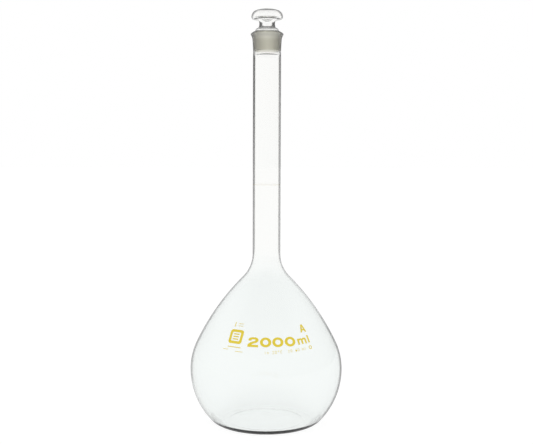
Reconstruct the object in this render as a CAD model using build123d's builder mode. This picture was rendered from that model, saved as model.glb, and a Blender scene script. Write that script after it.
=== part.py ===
from build123d import *
from math import sin, cos, asin, atan2, degrees, radians, sqrt
import os

# ----------------------------------------------------------------------------
# Volumetric flask, nominal capacity 2000 ml, with its ground glass stopper.
# Frame: origin at the centre of the base on the surface it stands on,
# +Z up along the axis of revolution, -Y is the printed front.  Millimetres.
# The flask is one body of fused glass: a blown bulb, a drawn neck tube and a
# tooled, ground socket, welded end to end.  The enamel is fired on.
# ----------------------------------------------------------------------------

# glass thickness
wall = 1.545          # bulb and neck
floor_t = 3.0         # base

# bulb, outside: tangent arcs from the standing ring up to the neck
pushup_h = 2.6        # hollow of the base
pushup_r = 38.5       # where the hollow meets the flat standing ring
stand_r = 46.5        # outer edge of the flat standing ring
heel_R, heel_a = 17.0, 46.742        # heel arc, turns to 46.7 degrees
low_R = 76.011                       # lower side, up to the equator
high_R, high_a = 64.79, 115.6        # upper side
cone_R, cone_a = 252.9, 134.85       # long shoulder, nearly straight

# neck and socket
weld_z = 180.0        # bulb to neck tube
neck_top_z = 381.0    # neck tube to socket
neck_r = 14.5         # outside, straight
ring_z = 250.5        # capacity ring
rim_z = 406.9         # top of the rim bead
rim_r = 16.9          # outer edge of the rim bead
rim_edge_z = 404.75
cone_top_r = 14.315   # ground cone at the rim
taper = 1 / 20        # radius per length: the 1 in 10 joint taper
joint_fit = 0.04      # radial gap kept between the two ground faces

# stopper
plug_end_z = 383.35
ground_end_z = 387.8
plug_top_z = 407.2
stem_r = 7.95
stem_bore_r = 5.65
head_r = 16.2
head_top_z = 430.8
blown_t = 1.4         # wall of the head
plug_wall = 2.1       # wall of the ground plug
foot_t = 1.2          # closed foot of the plug

# enamel
enamel_t = 0.08
band_h, band_t = 0.22, 0.05

os.makedirs("parts", exist_ok=True)


def turned(x, z, radius, start_angle, end_angle):
    """End point of an arc that leaves (x, z) at start_angle and turns left."""
    a, b = radians(start_angle), radians(end_angle)
    return x + radius * (sin(b) - sin(a)), z - radius * (cos(b) - cos(a))


# points where the outside arcs of the bulb meet
heel_x, heel_z = turned(stand_r, 0, heel_R, 0, heel_a)
equator_x, equator_z = turned(heel_x, heel_z, low_R, heel_a, 90)
high_x, high_z = turned(equator_x, equator_z, high_R, 90, high_a)
cone_x, cone_z = turned(high_x, high_z, cone_R, high_a, cone_a)
# the hollow arc into the neck ends upright on the neck's own radius
throat_x = neck_r
throat_R = (cone_x - neck_r) / (1 - sin(radians(cone_a)))
throat_z = cone_z - throat_R * cos(radians(cone_a))
low_c = (equator_x - low_R, equator_z)
high_c = (equator_x - high_R, equator_z)
cone_c = (high_x - cone_R * sin(radians(high_a)), high_z + cone_R * cos(radians(high_a)))
throat_c = (throat_x + throat_R, throat_z)

# inside: concentric arcs, with a heel that meets the thicker floor
in_heel_R = heel_R - wall
in_heel_cz = floor_t + in_heel_R
in_heel_cx = low_c[0] + sqrt((low_R - wall - in_heel_R) ** 2 - (low_c[1] - in_heel_cz) ** 2)
in_heel_a = degrees(atan2(low_c[1] - in_heel_cz, in_heel_cx - low_c[0]))
pushup_R = (pushup_r ** 2 + pushup_h ** 2) / (2 * pushup_h)
pushup_a = degrees(asin(pushup_r / pushup_R))

# ------------------------------------------------------------------ the bulb
with BuildPart() as bulb:
    with BuildSketch(Plane.XZ):
        with BuildLine():
            # outside, from the axis
            CenterArc((0, pushup_h - pushup_R), pushup_R, 90, -pushup_a)
            Line((pushup_r, 0), (stand_r, 0))
            CenterArc((stand_r, heel_R), heel_R, -90, heel_a)
            CenterArc(low_c, low_R, heel_a - 90, 90 - heel_a)
            CenterArc(high_c, high_R, 0, high_a - 90)
            CenterArc(cone_c, cone_R, high_a - 90, cone_a - high_a)
            CenterArc(throat_c, throat_R, 180, cone_a - 90)
            Line((throat_x, throat_z), (throat_x, weld_z))
            # weld face
            Line((throat_x, weld_z), (throat_x - wall, weld_z))
            # inside, back down to the axis
            Line((throat_x - wall, weld_z), (throat_x - wall, throat_z))
            CenterArc(throat_c, throat_R + wall, 180, cone_a - 90)
            CenterArc(cone_c, cone_R - wall, high_a - 90, cone_a - high_a)
            CenterArc(high_c, high_R - wall, 0, high_a - 90)
            CenterArc(low_c, low_R - wall, -in_heel_a, in_heel_a)
            CenterArc((in_heel_cx, in_heel_cz), in_heel_R, -90, 90 - in_heel_a)
            Line((in_heel_cx, floor_t), (pushup_r, floor_t))
            CenterArc((0, pushup_h + floor_t - pushup_R), pushup_R, 90, -pushup_a)
            Line((0, pushup_h + floor_t), (0, pushup_h))
        make_face()
    revolve(axis=Axis.Z)
bulb.part.label = "bulb"
export_step(bulb.part, "parts/bulb.step")

# ------------------------------------------------------------- the neck tube
bore_r = neck_r - wall
with BuildPart() as neck_tube:
    with BuildSketch(Plane.XZ):
        with BuildLine():
            Polyline(
                (neck_r, weld_z),
                (neck_r, neck_top_z),
                (bore_r, neck_top_z),
                (bore_r, weld_z),
                close=True,
            )
        make_face()
    revolve(axis=Axis.Z)
neck_tube.part.label = "neck_tube"
export_step(neck_tube.part, "parts/neck_tube.step")

# -------------------------------------------------- the tooled, ground socket
cone_end_z = 383.0    # where the ground cone runs out into the bore
cone_end_r = cone_top_r - taper * (rim_z - cone_end_z)
with BuildPart() as joint_socket:
    with BuildSketch(Plane.XZ):
        with BuildLine():
            Line((bore_r, neck_top_z), (neck_r, neck_top_z))
            side = Spline(
                (neck_r, neck_top_z),
                (14.36, 387.0),
                (14.66, 393.2),
                (15.02, 399.0),
                (15.55, 401.8),
                tangents=[(-0.01, 1), (0.35, 1)],
            )
            lip = ThreePointArc(side @ 1, (16.25, 403.2), (rim_r, rim_edge_z - 0.2))
            Line(lip @ 1, (rim_r, rim_edge_z))
            ThreePointArc((rim_r, rim_edge_z), (rim_r - 0.6, rim_edge_z + 1.05), (rim_r - 1.9, rim_z - 0.1))
            Line((rim_r - 1.9, rim_z - 0.1), (cone_top_r + 0.3, rim_z))
            Line((cone_top_r + 0.3, rim_z), (cone_top_r - 0.3 * taper, rim_z - 0.3))
            Line((cone_top_r - 0.3 * taper, rim_z - 0.3), (cone_end_r, cone_end_z))
            Line((cone_end_r, cone_end_z), (bore_r, neck_top_z))
        make_face()
    revolve(axis=Axis.Z)
joint_socket.part.label = "joint_socket"
export_step(joint_socket.part, "parts/joint_socket.step")

# -------------------------------------------------------- the ground stopper
# lamp-blown and hollow: a flat-bottomed mushroom head, a short stem, a sloping
# shoulder and the ground plug.  The last few millimetres of the plug are not
# ground and stand clear, and its foot is closed, so the hollow is sealed.
plug_top_r = cone_top_r - joint_fit + taper * (plug_top_z - rim_z)
ground_end_r = cone_top_r - joint_fit - taper * (rim_z - ground_end_z)
tip_r = ground_end_r - 0.3
tip_end_r = tip_r - taper * (ground_end_z - plug_end_z)
foot_R = 2.6                       # rounded edge of the foot
dome_R, dome_edge_r = 38.0, 11.5   # top of the head
dome_a = degrees(asin(dome_edge_r / dome_R))
dome_edge_z = head_top_z - dome_R * (1 - cos(radians(dome_a)))
edge_R = (head_r - dome_edge_r) / (1 - sin(radians(dome_a)))
edge_c = (head_r - edge_R, dome_edge_z - edge_R * cos(radians(dome_a)))
fold_R, fold_a = 2.9, 110.0        # where the side folds under, past the bottom
fold_c = (head_r - fold_R, edge_c[1])
under = (cos(radians(fold_a)), -sin(radians(fold_a)))
stem_z = 415.4                     # foot of the fillet under the head
with BuildPart() as stopper:
    with BuildSketch(Plane.XZ):
        with BuildLine():
            Line((0, plug_end_z), (tip_end_r - foot_R, plug_end_z))
            CenterArc((tip_end_r - foot_R, plug_end_z + foot_R), foot_R, -90, 90)
            Line((tip_end_r, plug_end_z + foot_R), (tip_r, ground_end_z - 0.3))
            Line((tip_r, ground_end_z - 0.3), (ground_end_r, ground_end_z))
            Line((ground_end_r, ground_end_z), (plug_top_r, plug_top_z))
            Spline(
                (plug_top_r, plug_top_z),
                (13.4, 407.65),
                (12.35, 408.35),
                (11.95, 409.1),
                (11.6, 409.85),
                (10.75, 410.6),
                (9.6, 411.3),
                (8.8, 411.95),
                (8.3, 413.2),
                (stem_r, stem_z),
                tangents=[(-0.6, 0.4), (0, 1)],
            )
            Spline(
                (stem_r, stem_z),
                (8.12, 416.85),
                (8.5, 418.1),
                (9.6, 419.6),
                (11.0, 420.1),
                (fold_c[0] + fold_R * under[0], fold_c[1] + fold_R * under[1]),
                tangents=[(0, 1), (-under[1], under[0])],
            )
            CenterArc(fold_c, fold_R, -fold_a, fold_a)
            CenterArc(edge_c, edge_R, 0, 90 - dome_a)
            CenterArc((0, head_top_z - dome_R), dome_R, 90 - dome_a, dome_a)
            Line((0, head_top_z), (0, plug_end_z))
        make_face()
    revolve(axis=Axis.Z)
    # the hollow inside
    with BuildSketch(Plane.XZ):
        with BuildLine():
            hollow_r, hollow_foot_z = tip_end_r - foot_t, plug_end_z + foot_t
            hollow_foot_R = foot_R - foot_t
            hollow_top = (plug_top_r - plug_wall, plug_top_z - 2.4)
            inner_R = fold_R - blown_t
            Line((0, hollow_foot_z), (hollow_r - hollow_foot_R, hollow_foot_z))
            CenterArc((hollow_r - hollow_foot_R, plug_end_z + foot_R), hollow_foot_R, -90, 90)
            Line((hollow_r, plug_end_z + foot_R), hollow_top)
            Spline(
                hollow_top,
                (11.5, 406.55),
                (10.2, 407.75),
                (9.75, 408.8),
                (8.6, 409.9),
                (6.75, 411.3),
                (stem_bore_r, 413.8),
                tangents=[(0.05, 1), (0, 1)],
            )
            Line((stem_bore_r, 413.8), (stem_bore_r, stem_z + 0.4))
            Spline(
                (stem_bore_r, stem_z + 0.4),
                (6.2, 418.6),
                (8.2, 421.0),
                (10.9, 421.95),
                (fold_c[0] + inner_R * under[0], fold_c[1] + inner_R * under[1]),
                tangents=[(0, 1), (-under[1], under[0])],
            )
            CenterArc(fold_c, inner_R, -fold_a, fold_a)
            CenterArc(edge_c, edge_R - blown_t, 0, 90 - dome_a)
            CenterArc((0, head_top_z - dome_R), dome_R - blown_t, 90 - dome_a, dome_a)
            Line((0, head_top_z - blown_t), (0, hollow_foot_z))
        make_face()
    revolve(axis=Axis.Z, mode=Mode.SUBTRACT)
stopper.part.label = "stopper"
export_step(stopper.part, "parts/stopper.step")


# ------------------------------------------------------------- fired enamel
with BuildPart() as graduation_ring:
    with BuildSketch(Plane.XZ):
        with BuildLine():
            Polyline(
                (neck_r, ring_z - band_h / 2),
                (neck_r + band_t, ring_z - band_h / 2),
                (neck_r + band_t, ring_z + band_h / 2),
                (neck_r, ring_z + band_h / 2),
                close=True,
            )
        make_face()
    revolve(axis=Axis.Z)
graduation_ring.part.label = "graduation_ring"
export_step(graduation_ring.part, "parts/graduation_ring.step")


def bulb_plane(azimuth, height, roll=0.0):
    """Plane that touches the shoulder of the bulb.  azimuth is measured from
    the front (-Y), positive to the right; roll turns the print in the plane."""
    lift = asin((height - cone_c[1]) / cone_R)
    r = cone_c[0] + cone_R * cos(lift)
    a = radians(azimuth)
    out = Vector(sin(a), -cos(a), 0)
    side = Vector(cos(a), sin(a), 0)
    n = out * cos(lift) + Vector(0, 0, sin(lift))
    up = n.cross(side)
    t = radians(roll)
    return Plane(origin=out * r + Vector(0, 0, height), x_dir=side * cos(t) + up * sin(t), z_dir=n)


# ring-shaped skin of enamel thickness over the shoulder of the bulb
with BuildSketch(Plane.XZ) as enamel_skin:
    with BuildLine():
        skin_a, skin_span = high_a - 90 + 0.15, 8.9
        inner = CenterArc(cone_c, cone_R, skin_a, skin_span)
        outer = CenterArc(cone_c, cone_R + enamel_t, skin_a, skin_span)
        Line(inner @ 0, outer @ 0)
        Line(inner @ 1, outer @ 1)
    make_face()


# capacity: wide bold figures, then the unit in lower case on the same line
figure_w, figure_h = 11.2, 10.0
print_z = 98.0        # middle of the figures
unit_h, unit_w, unit_stem = 6.2, 10.4, 1.9
sink = 1.3            # prints are cut from blocks that pass through the skin
with BuildPart() as capacity_print:
    with BuildSketch(bulb_plane(-11.1, print_z, -1.2)):
        with BuildLine():
            Spline(
                (-5.1, 1.45), (-4.8, 3.2), (-3.0, 4.6), (0.0, 5.0), (3.5, 4.55),
                (5.2, 2.4), (4.4, 0.4), (1.5, -1.15), (-0.7, -2.0), (-1.5, -2.65),
            )
            Polyline((-1.5, -2.65), (5.4, -2.65), (5.4, -5.0), (-5.4, -5.0), (-5.4, -4.1))
            Spline(
                (-5.4, -4.1), (-4.8, -1.9), (-2.6, -0.3), (0.4, 0.85), (2.0, 1.6),
                (2.2, 2.2), (1.6, 2.65), (0.0, 2.85), (-1.5, 2.55), (-2.1, 1.45),
            )
            Line((-2.1, 1.45), (-5.1, 1.45))
        make_face()
    extrude(amount=sink, both=True)
    for azimuth, roll in ((-0.5, 0.0), (9.95, 1.2), (20.7, 2.2)):
        with BuildSketch(bulb_plane(azimuth, print_z, roll)):
            Ellipse(figure_w / 2, figure_h / 2)
            Ellipse(figure_w / 2 - 2.9, figure_h / 2 - 2.4, mode=Mode.SUBTRACT)
        extrude(amount=sink, both=True)
    with BuildSketch(bulb_plane(32.1, print_z - 0.6, 2.8)):
        with BuildLine():
            x, y, w = unit_w / 2, unit_h / 2, unit_stem
            Polyline((-x, -y), (-x, y), (w - x, y), (w - x, y - 0.55))
            Spline((w - x, y - 0.55), (-2.0, y + 0.05), (-0.7, y - 0.1), (0.25, y - 0.85))
            Spline((0.25, y - 0.85), (1.7, y), (3.6, y), (4.8, y - 0.8), (x, y - 2.2))
            Polyline((x, y - 2.2), (x, -y), (x - w, -y), (x - w, y - 2.4))
            Spline((x - w, y - 2.4), (2.8, y - 1.75), (1.7, y - 1.75), (w / 2, y - 2.5))
            Polyline((w / 2, y - 2.5), (w / 2, -y), (-w / 2, -y), (-w / 2, y - 2.4))
            Spline((-w / 2, y - 2.4), (-1.4, y - 1.75), (-2.4, y - 1.75), (w - x, y - 2.5))
            Polyline((w - x, y - 2.5), (w - x, -y), (-x, -y))
        make_face()
    extrude(amount=sink, both=True)
    with BuildSketch(bulb_plane(39.0, print_z + 0.75, 3.0)):
        Rectangle(unit_stem, 7.8)
    extrude(amount=sink, both=True)
    revolve(enamel_skin.sketch, axis=Axis.Z, mode=Mode.INTERSECT)
capacity_print.part.label = "capacity_print"
export_step(capacity_print.part, "parts/capacity_print.step")

# accuracy class, above the unit
with BuildPart() as class_print:
    with BuildSketch(bulb_plane(36.5, 108.7, 1.5)):
        with BuildLine():
            Polyline(
                (-3.6, -4.1), (-1.0, 4.1), (1.0, 4.1), (3.6, -4.1), (1.75, -4.1),
                (1.2, -2.3), (-1.2, -2.3), (-1.75, -4.1), close=True,
            )
        make_face()
        with BuildLine():
            Polyline((-0.8, -0.9), (0.8, -0.9), (0.0, 1.9), close=True)
        make_face(mode=Mode.SUBTRACT)
    extrude(amount=sink, both=True)
    revolve(enamel_skin.sketch, axis=Axis.Z, mode=Mode.INTERSECT)
class_print.part.label = "class_print"
export_step(class_print.part, "parts/class_print.step")

# calibration line in single strokes: reference temperature and tolerance
small_h, small_pitch, stroke = 2.7, 2.12, 0.34
small_z = 88.6
strokes = {
    "I": [[(0, 0), (0, 1)]],
    "n": [[(-0.25, 0), (-0.25, 0.68)], [(-0.25, 0.5), (0.02, 0.68), (0.25, 0.5), (0.25, 0)]],
    "2": [[(-0.28, 0.78), (-0.1, 0.98), (0.15, 0.98), (0.28, 0.78), (0.2, 0.52), (-0.28, 0), (0.3, 0)]],
    "0": [[(0, 0), (-0.22, 0.1), (-0.28, 0.5), (-0.22, 0.9), (0, 1), (0.22, 0.9), (0.28, 0.5), (0.22, 0.1), (0, 0)]],
    "o": [[(-0.12, 0.7), (-0.12, 0.98), (0.12, 0.98), (0.12, 0.7), (-0.12, 0.7)]],
    "C": [[(0.28, 0.8), (0.08, 1), (-0.18, 0.9), (-0.28, 0.5), (-0.18, 0.1), (0.08, 0), (0.28, 0.2)]],
    "+": [[(-0.27, 0.58), (0.27, 0.58)], [(0, 0.3), (0, 0.86)], [(-0.27, 0.04), (0.27, 0.04)]],
    ".": [[(0, 0), (0, 0.14)]],
    "6": [[(0.22, 0.92), (-0.08, 0.9), (-0.27, 0.5), (-0.2, 0.1), (0.05, 0), (0.27, 0.2), (0.2, 0.48), (-0.1, 0.52), (-0.26, 0.36)]],
    "m": [[(-0.4, 0), (-0.4, 0.68)], [(-0.4, 0.52), (-0.2, 0.68), (0, 0.52), (0, 0)], [(0, 0.52), (0.2, 0.68), (0.4, 0.52), (0.4, 0)]],
    "l": [[(0, 0), (0, 1.05)]],
}
line = "In 20oC  +0.60 ml"
with BuildPart() as calibration_print:
    for i, letter in enumerate(line):
        if letter != " ":
            azimuth = 16.2 + (i - (len(line) - 1) / 2) * small_pitch
            with BuildSketch(bulb_plane(azimuth, small_z + 0.055 * max(0, azimuth), 0.06 * azimuth)):
                for path in strokes[letter]:
                    with BuildLine():
                        Polyline(*[(small_h * px, small_h * (py - 0.5)) for px, py in path])
                    trace(line_width=stroke)
            extrude(amount=sink, both=True)
    # small check mark: a plain ring at the end of the line
    with BuildSketch(bulb_plane(38.6, 90.9)):
        Circle(1.9)
        Circle(1.1, mode=Mode.SUBTRACT)
    extrude(amount=sink, both=True)
    revolve(enamel_skin.sketch, axis=Axis.Z, mode=Mode.INTERSECT)
calibration_print.part.label = "calibration_print"
export_step(calibration_print.part, "parts/calibration_print.step")

# plain mark on the left: a rounded frame with three bars, and plain bars
# above and below it where small print stands
with BuildPart() as mark_print:
    with BuildSketch(bulb_plane(-27.6, 101.9, -1.5)):
        RectangleRounded(14.8, 14.6, 2.8)
        RectangleRounded(9.4, 9.2, 1.2, mode=Mode.SUBTRACT)
        with Locations((0, 2.6), (0, 0), (0, -2.6)):
            Rectangle(6.2, 1.2)
    extrude(amount=sink, both=True)
    for azimuth, height, roll, w, h in (
        (-27.2, 92.4, -1.8, 14.5, 0.8),
        (-34.6, 89.8, 0.0, 6.0, 0.5),
        (-22.2, 88.6, -2.5, 8.0, 0.5),
        (-31.6, 112.6, 1.0, 0.8, 5.0),
        (-25.4, 113.6, 0.0, 5.6, 0.5),
        (-25.4, 111.6, 0.0, 5.6, 0.5),
    ):
        with BuildSketch(bulb_plane(azimuth, height, roll)):
            Rectangle(w, h)
        extrude(amount=sink, both=True)
    revolve(enamel_skin.sketch, axis=Axis.Z, mode=Mode.INTERSECT)
mark_print.part.label = "mark_print"
export_step(mark_print.part, "parts/mark_print.step")
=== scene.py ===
import bpy
from math import sin, cos, tan, asin, atan2, sqrt, pi, radians, degrees
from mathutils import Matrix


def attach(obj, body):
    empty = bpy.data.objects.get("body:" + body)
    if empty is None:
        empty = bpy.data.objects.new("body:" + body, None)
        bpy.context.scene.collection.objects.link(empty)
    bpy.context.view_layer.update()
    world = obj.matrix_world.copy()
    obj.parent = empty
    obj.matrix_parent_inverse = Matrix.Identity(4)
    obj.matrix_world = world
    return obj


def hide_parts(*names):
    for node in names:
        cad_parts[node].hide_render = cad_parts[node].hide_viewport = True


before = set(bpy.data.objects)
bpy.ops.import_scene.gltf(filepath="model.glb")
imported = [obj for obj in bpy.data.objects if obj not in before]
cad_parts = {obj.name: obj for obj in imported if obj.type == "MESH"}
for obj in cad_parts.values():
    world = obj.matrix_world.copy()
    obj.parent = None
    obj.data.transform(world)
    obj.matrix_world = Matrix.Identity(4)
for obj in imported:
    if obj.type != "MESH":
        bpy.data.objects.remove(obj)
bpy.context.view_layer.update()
scene = bpy.context.scene
mm = 0.001

# ---------------------------------------------------------------------------
# camera: level with the lower neck, looking slightly down
# ---------------------------------------------------------------------------
px = 1.0435 * mm                      # one picture element at the flask's axis
dist, pitch, roll = 950 * px, radians(4.5), 0.003
aim_z = 202.65 * px
cam_data = bpy.data.cameras.new("camera")
cam_data.sensor_fit = "HORIZONTAL"
cam_data.sensor_width = 36.0
cam_data.lens = 36.0 * 950 / 533
cam_data.clip_start, cam_data.clip_end = 0.01, 60
camera = bpy.data.objects.new("camera", cam_data)
scene.collection.objects.link(camera)
camera.location = (-0.05 * px, -dist * cos(pitch), aim_z + dist * sin(pitch))
from mathutils import Matrix, Vector
camera.rotation_euler = (Matrix.Rotation(pi / 2 - pitch, 3, "X") @ Matrix.Rotation(roll, 3, "Z")).to_euler()
scene.camera = camera

# ---------------------------------------------------------------------------
# the flask's outline, in millimetres (radius, height)
# ---------------------------------------------------------------------------
wall, floor_t = 1.545, 3.0
pushup_h, pushup_r, stand_r = 2.6, 38.5, 46.5
heel_R, heel_a = 17.0, 46.742
low_R, high_R, high_a = 76.011, 64.79, 115.6
cone_R, cone_a = 252.9, 134.85
neck_r, neck_top_z = 14.5, 381.0
rim_z, rim_r, rim_edge_z = 406.9, 16.9, 404.75
cone_top_r, taper, joint_fit = 14.315, 1 / 20, 0.04
cone_end_z = 383.0


def turned(x, z, R, a, b):
    a, b = radians(a), radians(b)
    return x + R * (sin(b) - sin(a)), z - R * (cos(b) - cos(a))


def arc(c, R, a0, a1, n):
    """Points on an arc about c from a0 to a1 degrees, both ends included."""
    return [(c[0] + R * cos(radians(a0 + (a1 - a0) * i / n)), c[1] + R * sin(radians(a0 + (a1 - a0) * i / n))) for i in range(n + 1)]


def line(p, q, n):
    return [(p[0] + (q[0] - p[0]) * i / n, p[1] + (q[1] - p[1]) * i / n) for i in range(n + 1)]


def curve(points, n):
    """A smooth run through points, with end slopes from the first and last pair."""
    out = []
    m = len(points)
    for i in range(m - 1):
        p1, p2 = points[i], points[i + 1]
        p0 = points[i - 1] if i else (2 * p1[0] - p2[0], 2 * p1[1] - p2[1])
        p3 = points[i + 2] if i + 2 < m else (2 * p2[0] - p1[0], 2 * p2[1] - p1[1])
        for k in range(n):
            t = k / n
            out.append(tuple(0.5 * ((2 * p1[j]) + (p2[j] - p0[j]) * t + (2 * p0[j] - 5 * p1[j] + 4 * p2[j] - p3[j]) * t * t + (3 * p1[j] - p0[j] - 3 * p2[j] + p3[j]) * t ** 3) for j in (0, 1)))
    return out + [tuple(points[-1])]


def join(*runs):
    """One list of points from several runs, without doubled ends."""
    out = []
    for run in runs:
        for p in run:
            if not out or (p[0] - out[-1][0]) ** 2 + (p[1] - out[-1][1]) ** 2 > 1e-8:
                out.append(p)
    return out


heel = turned(stand_r, 0, heel_R, 0, heel_a)
equator = turned(*heel, low_R, heel_a, 90)
high = turned(*equator, high_R, 90, high_a)
cone = turned(*high, cone_R, high_a, cone_a)
throat_R = (cone[0] - neck_r) / (1 - sin(radians(cone_a)))
throat_z = cone[1] - throat_R * cos(radians(cone_a))
low_c = (equator[0] - low_R, equator[1])
high_c = (equator[0] - high_R, equator[1])
cone_c = (high[0] - cone_R * sin(radians(high_a)), high[1] + cone_R * cos(radians(high_a)))
throat_c = (neck_r + throat_R, throat_z)
in_heel_R = heel_R - wall
in_heel_cz = floor_t + in_heel_R
in_heel_cx = low_c[0] + sqrt((low_R - wall - in_heel_R) ** 2 - (low_c[1] - in_heel_cz) ** 2)
in_heel_a = degrees(atan2(low_c[1] - in_heel_cz, in_heel_cx - low_c[0]))
pushup_R = (pushup_r ** 2 + pushup_h ** 2) / (2 * pushup_h)
pushup_a = degrees(asin(pushup_r / pushup_R))
bore_r = neck_r - wall

outside = join(
    arc((0, pushup_h - pushup_R), pushup_R, 90, 90 - pushup_a + 0.15, 16),
    [(pushup_r, 0.0)],
    line((pushup_r + 0.3, 0), (stand_r, 0), 4),
    arc((stand_r, heel_R), heel_R, -90, heel_a - 90, 22),
    arc(low_c, low_R, heel_a - 90, 0, 34),
    arc(high_c, high_R, 0, high_a - 90, 20),
    arc(cone_c, cone_R, high_a - 90, cone_a - 90, 40),
    arc(throat_c, throat_R, 180 + cone_a - 90, 180, 26),
    line((neck_r, throat_z), (neck_r, neck_top_z), 60),
    curve([(neck_r, neck_top_z), (14.36, 387.0), (14.66, 393.2), (15.02, 399.0), (15.55, 401.8), (16.25, 403.2), (16.78, 404.1)], 8),
    [(rim_r, rim_edge_z - 0.2), (rim_r, rim_edge_z)],
    curve([(rim_r - 0.03, rim_edge_z + 0.25), (rim_r - 0.26, rim_edge_z + 0.68), (rim_r - 0.6, rim_edge_z + 1.05), (rim_r - 1.2, rim_edge_z + 1.6), (rim_r - 1.9, rim_z - 0.1)], 3),
)
rim = [(cone_top_r + 0.5, rim_z - 0.02), (cone_top_r + 0.3, rim_z), (cone_top_r + 0.1, rim_z - 0.08), (cone_top_r + 0.0, rim_z - 0.2), (cone_top_r - 0.3 * taper, rim_z - 0.36)]
cone_end_r = cone_top_r - taper * (rim_z - cone_end_z)
inside = join(
    line(rim[-1], (cone_end_r, cone_end_z), 40),
    curve([(cone_end_r, cone_end_z), (12.99, 381.9), (bore_r, 380.6)], 4),
    line((bore_r, 380.0), (bore_r, throat_z), 60),
    arc(throat_c, throat_R + wall, 180, 180 + cone_a - 90, 26),
    arc(cone_c, cone_R - wall, cone_a - 90, high_a - 90, 40),
    arc(high_c, high_R - wall, high_a - 90, 0, 20),
    arc(low_c, low_R - wall, 0, -in_heel_a, 34),
    arc((in_heel_cx, in_heel_cz), in_heel_R, -in_heel_a, -90, 22),
    line((in_heel_cx, floor_t), (pushup_r + 0.3, floor_t), 4),
    [(pushup_r, floor_t)],
    arc((0, pushup_h + floor_t - pushup_R), pushup_R, 90 - pushup_a + 0.15, 90, 16),
)

# the stopper's outline, from the foot of the plug up to the top of the head
ground_end_z, plug_end_z, plug_top_z = 387.8, 383.35, 407.2
stem_r, stem_bore_r, stem_z, head_r, head_top_z = 7.95, 5.65, 415.4, 16.2, 430.8
blown_t, plug_wall, foot_t = 1.4, 2.1, 1.2
plug_top_r = cone_top_r - joint_fit + taper * (plug_top_z - rim_z)
ground_end_r = cone_top_r - joint_fit - taper * (rim_z - ground_end_z)
tip_r = ground_end_r - 0.3
tip_end_r = tip_r - taper * (ground_end_z - plug_end_z)
foot_R = 2.6
dome_R, dome_edge_r = 38.0, 11.5
dome_a = degrees(asin(dome_edge_r / dome_R))
dome_edge_z = head_top_z - dome_R * (1 - cos(radians(dome_a)))
edge_R = (head_r - dome_edge_r) / (1 - sin(radians(dome_a)))
edge_c = (head_r - edge_R, dome_edge_z - edge_R * cos(radians(dome_a)))
fold_R, fold_a = 2.9, 110.0
fold_c = (head_r - fold_R, edge_c[1])
under = (cos(radians(fold_a)), -sin(radians(fold_a)))


stopper_line = join(
    line((0, plug_end_z), (tip_end_r - foot_R, plug_end_z), 6),
    arc((tip_end_r - foot_R, plug_end_z + foot_R), foot_R, -90, 0, 12),
    line((tip_end_r, plug_end_z + foot_R), (tip_r, ground_end_z - 0.4), 4),
    [(tip_r + 0.1, ground_end_z - 0.25), (ground_end_r - 0.06, ground_end_z - 0.05)],
    line((ground_end_r, ground_end_z + 0.1), (plug_top_r - 0.01, plug_top_z - 0.25), 30),
    [(plug_top_r - 0.06, plug_top_z + 0.02)],
    curve([(plug_top_r - 0.16, plug_top_z + 0.12), (13.4, 407.65), (12.35, 408.35), (11.95, 409.1), (11.6, 409.85), (10.75, 410.6), (9.6, 411.3), (8.8, 411.95), (8.3, 413.2), (stem_r, stem_z)], 6),
    curve([(stem_r, stem_z), (8.12, 416.85), (8.5, 418.1), (9.6, 419.6), (11.0, 420.1), (fold_c[0] + fold_R * under[0], fold_c[1] + fold_R * under[1])], 6),
    arc(fold_c, fold_R, -fold_a, 0, 22),
    arc(edge_c, edge_R, 0, 90 - dome_a, 26),
    arc((0, head_top_z - dome_R), dome_R, 90 - dome_a, 90, 18),
)

# the sealed hollow inside it, from the top down
hollow_r, hollow_foot_z = tip_end_r - foot_t, plug_end_z + foot_t
hollow_foot_R = foot_R - foot_t
hollow_top = (plug_top_r - plug_wall, plug_top_z - 2.4)
inner_R = fold_R - blown_t
hollow_line = join(
    arc((0, head_top_z - dome_R), dome_R - blown_t, 90, 90 - dome_a, 18),
    arc(edge_c, edge_R - blown_t, 90 - dome_a, 0, 22),
    arc(fold_c, inner_R, 0, -fold_a, 14),
    curve([(fold_c[0] + inner_R * under[0], fold_c[1] + inner_R * under[1]), (10.9, 421.95), (8.2, 421.0), (6.2, 418.6), (stem_bore_r, stem_z + 0.4)], 7),
    line((stem_bore_r, stem_z + 0.4), (stem_bore_r, 413.8), 3),
    curve([(stem_bore_r, 413.8), (6.75, 411.3), (8.6, 409.9), (9.75, 408.8), (10.2, 407.75), (11.5, 406.55), hollow_top], 8),
    line(hollow_top, (hollow_r, plug_end_z + foot_R), 16),
    arc((hollow_r - hollow_foot_R, plug_end_z + foot_R), hollow_foot_R, 0, -90, 12),
    line((hollow_r - hollow_foot_R, hollow_foot_z), (0, hollow_foot_z), 6),
)


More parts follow.
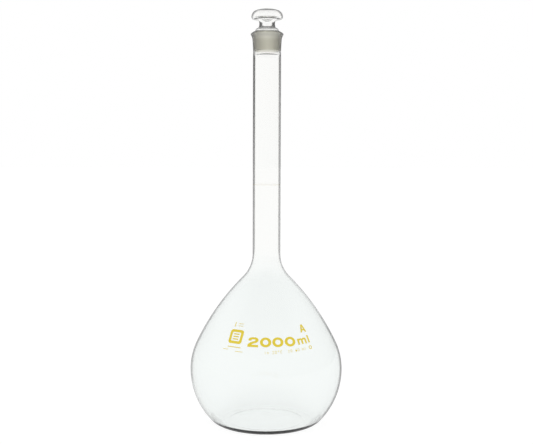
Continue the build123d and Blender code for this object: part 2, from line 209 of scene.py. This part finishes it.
# ---------------------------------------------------------------------------
# meshes turned from an outline
# ---------------------------------------------------------------------------
def turn(name, outlines, seg, slots, pick):
    """Closed surfaces of revolution about Z, in one mesh. Each outline starts and
    ends on the axis. pick(outline, index, middle of the band) gives the slot."""
    verts, faces, mats = [], [], []
    for number, points in enumerate(outlines):
        rings = []
        for r, z in points:
            if r < 1e-6:
                rings.append([len(verts)])
                verts.append((0.0, 0.0, z * mm))
            else:
                rings.append(list(range(len(verts), len(verts) + seg)))
                verts += [(r * mm * cos(2 * pi * k / seg), r * mm * sin(2 * pi * k / seg), z * mm) for k in range(seg)]
        for i in range(len(points) - 1):
            a, b = rings[i], rings[i + 1]
            m = pick(number, i, ((points[i][0] + points[i + 1][0]) / 2, (points[i][1] + points[i + 1][1]) / 2))
            for k in range(seg):
                n = (k + 1) % seg
                if len(a) == 1:
                    faces.append((a[0], b[n], b[k]))
                elif len(b) == 1:
                    faces.append((a[k], a[n], b[0]))
                else:
                    faces.append((a[k], a[n], b[n], b[k]))
                mats.append(m)
    mesh = bpy.data.meshes.new(name)
    mesh.from_pydata(verts, [], faces)
    for s in slots:
        mesh.materials.append(s)
    mesh.polygons.foreach_set("material_index", mats)
    mesh.polygons.foreach_set("use_smooth", [True] * len(faces))
    mesh.update()
    ob = bpy.data.objects.new(name, mesh)
    scene.collection.objects.link(ob)
    return ob


# ---------------------------------------------------------------------------
# materials
# ---------------------------------------------------------------------------
def new_material(name):
    m = bpy.data.materials.new(name)
    m.use_nodes = True
    nt = m.node_tree
    for n in list(nt.nodes):
        nt.nodes.remove(n)
    return m, nt


def node(nt, kind, **values):
    n = nt.nodes.new(kind)
    for key, v in values.items():
        if hasattr(n, key):
            setattr(n, key, v)
        else:
            n.inputs[key.replace("_", " ")].default_value = v
    return n


def ramp(nt, source, stops, interpolation="LINEAR"):
    n = nt.nodes.new("ShaderNodeValToRGB")
    n.color_ramp.interpolation = interpolation
    e = n.color_ramp.elements
    while len(e) > 1:
        e.remove(e[-1])
    e[0].position, v = stops[0]
    e[0].color = (v, v, v, 1) if isinstance(v, (int, float)) else (*v, 1)
    for p, v in stops[1:]:
        x = e.new(p)
        x.color = (v, v, v, 1) if isinstance(v, (int, float)) else (*v, 1)
    nt.links.new(source, n.inputs[0])
    return n.outputs[0]


def maths(nt, operation, a, b=None, clamp=False):
    n = nt.nodes.new("ShaderNodeMath")
    n.operation = operation
    n.use_clamp = clamp
    for i, v in enumerate((a, b)):
        if v is None:
            continue
        if isinstance(v, (int, float)):
            n.inputs[i].default_value = v
        else:
            nt.links.new(v, n.inputs[i])
    return n.outputs[0]


def step(nt, value, lo, hi):
    """0 below lo, 1 above hi, smooth between. lo and hi are numbers or sockets."""
    n = nt.nodes.new("ShaderNodeMapRange")
    n.interpolation_type = "SMOOTHSTEP"
    nt.links.new(value, n.inputs["Value"])
    for key, v in (("From Min", lo), ("From Max", hi)):
        if isinstance(v, (int, float)):
            n.inputs[key].default_value = v
        else:
            nt.links.new(v, n.inputs[key])
    return n.outputs["Result"]


def blend(nt, fac, a, b):
    """Colour a where fac is 0, b where it is 1."""
    n = nt.nodes.new("ShaderNodeMix")
    n.data_type = "RGBA"
    nt.links.new(fac, n.inputs[0])
    for i, v in ((6, a), (7, b)):
        if isinstance(v, tuple):
            n.inputs[i].default_value = (*v, 1)
        else:
            nt.links.new(v, n.inputs[i])
    return n.outputs[2]


def by_height(nt, z, stops):
    """A value that changes with height: (height in mm, value) pairs, 0 to 440 mm."""
    return ramp(nt, maths(nt, "MULTIPLY", z, 1000 / 440), [(h / 440, v) for h, v in stops])


def place(nt):
    tc = node(nt, "ShaderNodeTexCoord")
    sep = node(nt, "ShaderNodeSeparateXYZ")
    nt.links.new(tc.outputs["Object"], sep.inputs[0])
    return tc.outputs["Object"], sep.outputs["X"], sep.outputs["Y"], sep.outputs["Z"]


def glass(name, tint, begin, full, depth=(0.0, 0.0, 0.0), strength=None, waves=0.0, roughness=0.0, shade=None):
    """Clear borosilicate glass, painted darker where its wall is seen edge on: painted shade.
    tint, begin and full are (height, value) stops, and strength is a function of the
    place that gives how strongly the painted shade shows: the colour is painted darker from
    the facing value begin to full, by strength, towards the given dark colour. shade is
    ((from, to) height, (facing, factor) stops): painted shade, darker towards the sides, on
    the glass above that height, which has a ground face behind it."""
    m, nt = new_material(name)
    out = node(nt, "ShaderNodeOutputMaterial")
    p = node(nt, "ShaderNodeBsdfPrincipled")
    p.inputs["Roughness"].default_value = roughness
    p.inputs["IOR"].default_value = 1.473
    p.inputs["Transmission Weight"].default_value = 1.0
    nt.links.new(p.outputs[0], out.inputs["Surface"])
    at, x, y, z = place(nt)
    body = by_height(nt, z, tint)
    if begin:
        lw = node(nt, "ShaderNodeLayerWeight", Blend=0.5)
        if shade:
            (lo, hi), stops = shade
            # painted shade above the given height: the colour multiplied darker towards the sides
            side_shade = nt.nodes.new("ShaderNodeMix")
            side_shade.data_type, side_shade.blend_type = "RGBA", "MULTIPLY"
            nt.links.new(step(nt, z, lo * mm, hi * mm), side_shade.inputs[0])
            nt.links.new(body, side_shade.inputs[6])
            nt.links.new(ramp(nt, lw.outputs["Facing"], stops), side_shade.inputs[7])
            body = side_shade.outputs[2]
        # painted shade: the colour goes towards the given dark colour where the wall is seen edge on
        edge = step(nt, lw.outputs["Facing"], by_height(nt, z, begin), by_height(nt, z, full))
        edge = maths(nt, "MULTIPLY", edge, strength(nt, at, x, y, z)) if strength else edge
        body = blend(nt, edge, body, depth)
    nt.links.new(body, p.inputs["Base Color"])
    if waves:
        n = node(nt, "ShaderNodeTexNoise", Scale=26.0, Detail=1.0)
        nt.links.new(at, n.inputs["Vector"])
        bump = node(nt, "ShaderNodeBump", Strength=1.0, Distance=waves)
        nt.links.new(n.outputs["Fac"], bump.inputs["Height"])
        nt.links.new(bump.outputs[0], p.inputs["Normal"])
    return m


def ground_glass(name, tint):
    """Ground to a fine matt face: fine grain, and the faint turning lines of the lap."""
    m, nt = new_material(name)
    out = node(nt, "ShaderNodeOutputMaterial")
    p = node(nt, "ShaderNodeBsdfPrincipled")
    p.inputs["IOR"].default_value = 1.473
    p.inputs["Transmission Weight"].default_value = 1.0
    at, x, y, z = place(nt)
    grain = node(nt, "ShaderNodeTexNoise", Scale=1400.0, Detail=2.0)
    nt.links.new(at, grain.inputs["Vector"])
    lines = node(nt, "ShaderNodeTexNoise", Scale=900.0, Detail=1.0)
    flat = node(nt, "ShaderNodeVectorMath", operation="MULTIPLY")
    flat.inputs[1].default_value = (0.05, 0.05, 1.0)
    nt.links.new(at, flat.inputs[0])
    nt.links.new(flat.outputs[0], lines.inputs["Vector"])
    both = maths(nt, "MULTIPLY_ADD", lines.outputs["Fac"], 0.6)
    nt.links.new(grain.outputs["Fac"], both.node.inputs[2])
    low = tuple(0.94 * v for v in tint)
    nt.links.new(ramp(nt, both, [(0.5, low), (1.1, tint)]), p.inputs["Base Color"])
    nt.links.new(ramp(nt, both, [(0.5, 0.50), (1.1, 0.62)]), p.inputs["Roughness"])
    nt.links.new(p.outputs[0], out.inputs["Surface"])
    return m


def enamel(name, low, high):
    """Fired glass enamel: a little uneven in shade, with a fine orange-peel skin."""
    m, nt = new_material(name)
    out = node(nt, "ShaderNodeOutputMaterial")
    p = node(nt, "ShaderNodeBsdfPrincipled")
    tc = node(nt, "ShaderNodeTexCoord")
    noise = node(nt, "ShaderNodeTexNoise", Scale=900.0, Detail=3.0, Roughness=0.6)
    nt.links.new(tc.outputs["Object"], noise.inputs["Vector"])
    c = ramp(nt, noise.outputs["Fac"], [(0.35, low), (0.65, high)])
    nt.links.new(c, p.inputs["Base Color"])
    p.inputs["Roughness"].default_value = 0.38
    bump = node(nt, "ShaderNodeBump", Strength=0.25, Distance=0.00002)
    nt.links.new(noise.outputs["Fac"], bump.inputs["Height"])
    nt.links.new(bump.outputs[0], p.inputs["Normal"])
    nt.links.new(p.outputs[0], out.inputs["Surface"])
    return m


# how strongly the painted dark edge (painted shade) shows round the flask, height by height, with its own strength on
# the left and on the right side
def flask_edge_shade_strength(nt, at, x, y, z):
    left = by_height(nt, z, [(0, 0.0), (40, 0.0), (54, 0.75), (76, 0.8), (97, 0.75), (130, 0.75), (150, 0.55), (180, 0.85), (240, 0.9), (330, 1.0), (386, 1.0), (389, 0.88), (405, 0.85)])
    right = by_height(nt, z, [(0, 0.0), (5, 0.2), (12, 0.9), (33, 0.85), (55, 0.95), (100, 0.95), (125, 0.25), (145, 0.1), (160, 0.5), (180, 0.78), (300, 0.82), (380, 0.92), (386, 0.92), (389, 0.72), (405, 0.75)])
    side = step(nt, x, -0.02, 0.02)
    n = nt.nodes.new("ShaderNodeMix")
    n.data_type = "FLOAT"
    nt.links.new(side, n.inputs[0])
    nt.links.new(left, n.inputs[2])
    nt.links.new(right, n.inputs[3])
    return n.outputs[0]


bulb_tint, neck_tint = (0.945, 0.975, 0.965), (0.985, 0.985, 0.975)


# the neck tint times k; where k is below 1 it is painted shade: darker over the ground socket and in dark bands at the
# rim
def shaded_neck_tint(k):
    return tuple(k * v for v in neck_tint)


# outer wall: the glass's own tint, with painted shade where the wall is seen edge on, painted darker bands over the
# ground socket and at the rim, and painted shade towards the sides above 388 mm
clear_out = glass(
    "glass_outside",
    [(0, bulb_tint), (150, bulb_tint), (185, neck_tint), (387, neck_tint), (388.5, shaded_neck_tint(0.85)), (398.6, shaded_neck_tint(0.85)), (400.7, shaded_neck_tint(1.0)), (401.7, shaded_neck_tint(0.97)),
     (402.8, shaded_neck_tint(0.69)), (403.9, shaded_neck_tint(0.79)), (405, shaded_neck_tint(1.0)), (440, neck_tint)],
    [(0, 0.80), (8, 0.80), (16, 0.74), (40, 0.73), (135, 0.73), (158, 0.60), (185, 0.41), (380, 0.39), (390, 0.30), (405, 0.30)],
    [(0, 0.95), (8, 0.95), (16, 0.85), (40, 0.83), (135, 0.83), (158, 0.72), (185, 0.53), (380, 0.50), (390, 0.85), (405, 0.85)],
    depth=(0.010, 0.010, 0.009), strength=flask_edge_shade_strength, waves=0.00003,
    shade=((387.0, 389.0), [(0, 1.0), (0.02, 0.92), (0.088, 0.83), (0.215, 0.74), (0.44, 0.66), (1, 0.55)]),
)
clear_in = glass("glass_inside", [(0, (0.99, 0.997, 0.993)), (440, (0.995, 0.995, 0.99))], None, None)
# how strongly the stopper's painted dark edge (painted shade) shows, height by height
def stopper_edge_shade_strength(nt, at, x, y, z):
    return by_height(nt, z, [(380, 0.8), (407, 0.8), (409.8, 0.7), (410.3, 0.94), (412.4, 0.94), (413.2, 1.0), (417, 1.0), (419, 0.85), (427.5, 0.85), (429.3, 0.35), (432, 0.35)])


# the stopper's outer face: painted dark edges (painted shade) where it is seen edge on, set height by height
stopper_out = glass(
    "glass_stopper",
    [(0, neck_tint), (440, neck_tint)],
    [(380, 0.97), (406.5, 0.97), (407.5, 0.62), (410.0, 0.72), (410.4, 0.14), (412.4, 0.14), (413.3, 0.15), (416.8, 0.15), (418, 0.60), (419, 0.97), (420.4, 0.97), (421.2, 0.42), (426.5, 0.40), (428.6, 0.66), (432, 0.66)],
    [(380, 1.00), (406.5, 1.00), (407.5, 0.80), (410.0, 0.88), (410.4, 0.34), (412.4, 0.30), (413.3, 0.30), (416.8, 0.30), (418, 0.80), (419, 1.00), (420.4, 1.00), (421.2, 0.60), (426.5, 0.58), (428.6, 0.80), (432, 0.80)],
    depth=(0.012, 0.012, 0.011), strength=stopper_edge_shade_strength,
)
ground = ground_glass("glass_ground", (0.99, 0.977, 0.89))
amber = enamel("amber_enamel", (0.86, 0.67, 0.045), (0.95, 0.76, 0.06))
amber_line = enamel("amber_line", (0.86, 0.67, 0.045), (0.95, 0.76, 0.06))
amber_line.node_tree.nodes["Principled BSDF"].inputs["Alpha"].default_value = 0.25

flask = turn(
    "flask_glass", [outside + rim + inside], 224, [clear_out, clear_in, ground],
    lambda number, i, c: 0 if i < len(outside) + len(rim) - 1 else (2 if 387.9 < c[1] < 405.9 and c[0] < cone_top_r else 1),
)
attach(flask, "flask")
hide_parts("bulb", "neck_tube", "joint_socket")

stopper = turn(
    "stopper_glass", [stopper_line, hollow_line], 144, [stopper_out, clear_in, ground],
    lambda number, i, c: 1 if number else (2 if ground_end_z - 0.1 < c[1] < 406.3 and c[0] > 12.9 else 0),
)
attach(stopper, "stopper")
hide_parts("stopper")

for name in ("graduation_ring", "capacity_print", "class_print", "calibration_print", "mark_print"):
    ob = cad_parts[name]
    ob.data.materials.clear()
    ob.data.materials.append(amber_line if name == "graduation_ring" else amber)

# ---------------------------------------------------------------------------
# floor, light
# ---------------------------------------------------------------------------
floor_mesh = bpy.data.meshes.new("floor")
floor_mesh.from_pydata([(-12, -12, -0.0001), (12, -12, -0.0001), (12, 12, -0.0001), (-12, 12, -0.0001)], [], [(0, 1, 2, 3)])
floor = bpy.data.objects.new("floor", floor_mesh)
scene.collection.objects.link(floor)
m, nt = new_material("floor")
out = node(nt, "ShaderNodeOutputMaterial")
d = node(nt, "ShaderNodeBsdfDiffuse", Color=(0.2, 0.2, 0.2, 1))
e = node(nt, "ShaderNodeEmission", Color=(1, 1, 1, 1))
path = node(nt, "ShaderNodeLightPath")
seen = ramp(nt, path.outputs["Is Camera Ray"], [(0, 0.865), (1, 0.90)])
glint = maths(nt, "MULTIPLY", path.outputs["Is Reflection Ray"], path.outputs["Is Glossy Ray"])
nt.links.new(maths(nt, "SUBTRACT", seen, maths(nt, "MULTIPLY", glint, 0.38)), e.inputs["Strength"])
add = node(nt, "ShaderNodeAddShader")
nt.links.new(d.outputs[0], add.inputs[0])
nt.links.new(e.outputs[0], add.inputs[1])
nt.links.new(add.outputs[0], out.inputs["Surface"])
floor_mesh.materials.append(m)

# a white studio: the backdrop glows from the floor up to 18 degrees, the room
# above it is dim, and what the glass mirrors is the dimmer room in front
world = bpy.data.worlds.new("studio")
scene.world = world
world.use_nodes = True
nt = world.node_tree
for n in list(nt.nodes):
    nt.nodes.remove(n)
out = node(nt, "ShaderNodeOutputWorld")
tc = node(nt, "ShaderNodeTexCoord")
sep = node(nt, "ShaderNodeSeparateXYZ")
nt.links.new(tc.outputs["Generated"], sep.inputs[0])
sky = ramp(nt, sep.outputs["Z"], [(0.0, 1.0), (0.50, 1.0), (0.70, 0.75), (0.85, 0.45), (1.0, 0.35)])
mirrored = ramp(nt, maths(nt, "MULTIPLY_ADD", sep.outputs["X"], 0.5), [(0.0, 0.62), (0.5, 0.46), (1.0, 0.30)])
mirrored.node.inputs[0].links[0].from_node.inputs[2].default_value = 0.5
path = node(nt, "ShaderNodeLightPath")
room = node(nt, "ShaderNodeMix")
room.data_type = "FLOAT"
glint = maths(nt, "MULTIPLY", path.outputs["Is Reflection Ray"], path.outputs["Is Glossy Ray"])
nt.links.new(glint, room.inputs[0])
nt.links.new(sky, room.inputs[2])
nt.links.new(maths(nt, "MULTIPLY", sky, mirrored), room.inputs[3])
bg_room = node(nt, "ShaderNodeBackground", Strength=1.0)
nt.links.new(room.outputs[0], bg_room.inputs["Color"])
bg_seen = node(nt, "ShaderNodeBackground", Strength=1.0)
bg_seen.inputs["Color"].default_value = (1, 1, 1, 1)
mix = node(nt, "ShaderNodeMixShader")
nt.links.new(path.outputs["Is Camera Ray"], mix.inputs[0])
nt.links.new(bg_room.outputs[0], mix.inputs[1])
nt.links.new(bg_seen.outputs[0], mix.inputs[2])
nt.links.new(mix.outputs[0], out.inputs["Surface"])

scene.view_settings.view_transform = "Standard"
scene.view_settings.look = "None"
scene.cycles.use_denoising = True
